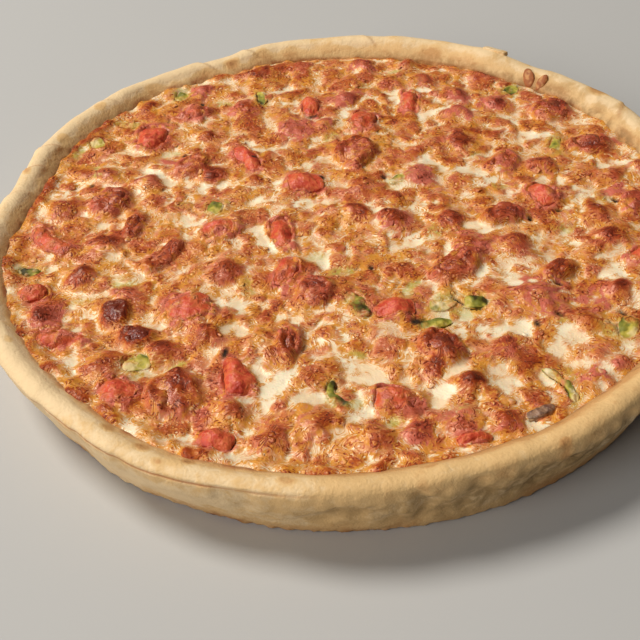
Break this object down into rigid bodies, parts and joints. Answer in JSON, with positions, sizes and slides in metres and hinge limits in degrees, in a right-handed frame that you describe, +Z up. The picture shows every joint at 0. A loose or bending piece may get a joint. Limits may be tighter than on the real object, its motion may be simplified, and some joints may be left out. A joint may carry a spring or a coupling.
{
  "type": "sicilian pizza",
  "caption": "Whole round deep pizza with a raised pale dough rim, a browned cheese filling, and lumps of tomato, pepper and meat set in it.",
  "frame": {"origin": "centre of the bounding box's bottom face, on the surface that the pizza lies on", "axes": "+Z up, -Y towards the near side of the picture, +X to its right"},
  "size_m": [0.3334, 0.333, 0.0364],
  "materials": {
    "dough": "baked dough, pale gold, dry and matt",
    "cheese": "baked cheese, cream to golden brown, slightly oily",
    "tomato": "roasted tomato, red, moist and glossy",
    "pepper": "roasted green pepper, moist",
    "meat": "browned meat under a film of cheese, satin",
    "mushroom": "baked mushroom, grey brown, satin"
  },
  "bodies": {
    "root": {"crust": "dough", "filling": "cheese", "tomato_1": "tomato", "tomato_2": "tomato", "tomato_3": "tomato", "tomato_4": "tomato", "tomato_5": "tomato", "tomato_6": "tomato", "tomato_7": "tomato", "tomato_8": "tomato", "tomato_9": "tomato", "tomato_10": "tomato", "tomato_11": "tomato", "tomato_12": "tomato", "tomato_13": "tomato", "tomato_14": "tomato", "tomato_15": "tomato", "tomato_16": "tomato", "tomato_17": "tomato", "tomato_18": "tomato", "tomato_19": "tomato", "tomato_20": "tomato", "tomato_21": "tomato", "tomato_22": "tomato", "pepper_1": "pepper", "pepper_2": "pepper", "pepper_3": "pepper", "pepper_4": "pepper", "pepper_5": "pepper", "pepper_6": "pepper", "pepper_7": "pepper", "pepper_8": "pepper", "pepper_9": "pepper", "pepper_10": "pepper", "pepper_11": "pepper", "pepper_12": "pepper", "pepper_13": "pepper", "pepper_14": "pepper", "pepper_15": "pepper", "pepper_16": "pepper", "pepper_17": "pepper", "meat_1": "meat", "meat_2": "meat", "meat_3": "meat", "meat_4": "meat", "meat_5": "meat", "meat_6": "meat", "meat_7": "meat", "meat_8": "meat", "meat_9": "meat", "meat_10": "meat", "meat_11": "meat", "meat_12": "meat", "meat_13": "meat", "meat_14": "meat", "meat_15": "meat", "meat_16": "meat", "meat_17": "meat", "meat_18": "meat", "mushroom_1": "mushroom"}
  },
  "joints": []
}
